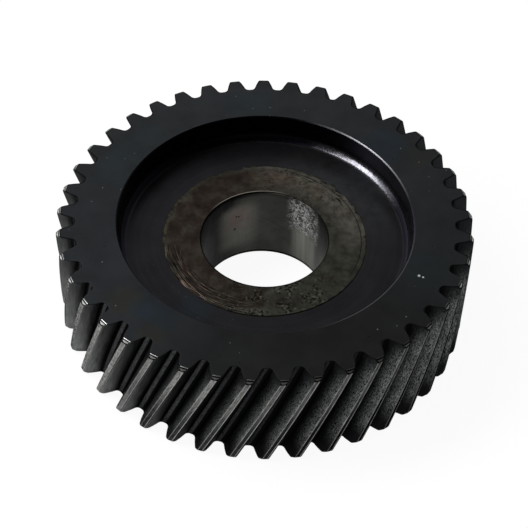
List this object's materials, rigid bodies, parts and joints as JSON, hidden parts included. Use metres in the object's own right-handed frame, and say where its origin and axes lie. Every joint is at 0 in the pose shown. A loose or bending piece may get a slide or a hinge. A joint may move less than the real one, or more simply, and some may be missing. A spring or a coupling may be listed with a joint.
{
  "type": "helical gear wheel",
  "caption": "One-piece helical gear wheel with right-hand teeth round the rim, a turned recess in one face and a plain central bore for a pressed-on shaft.",
  "frame": {"origin": "on the wheel's axis, at the plane of its flat lower end face", "axes": "+Z along the axis, from the flat end face towards the recessed end face; +X through the middle of one tooth at the lower end face"},
  "size_m": [0.136, 0.136, 0.04],
  "materials": {
    "blackened_steel": "black oxide on turned faces, worn to grey steel on the tooth lands and in the bore, brown wear ring on the hub land"
  },
  "bodies": {
    "root": {"gear_wheel": "blackened_steel"}
  },
  "joints": []
}
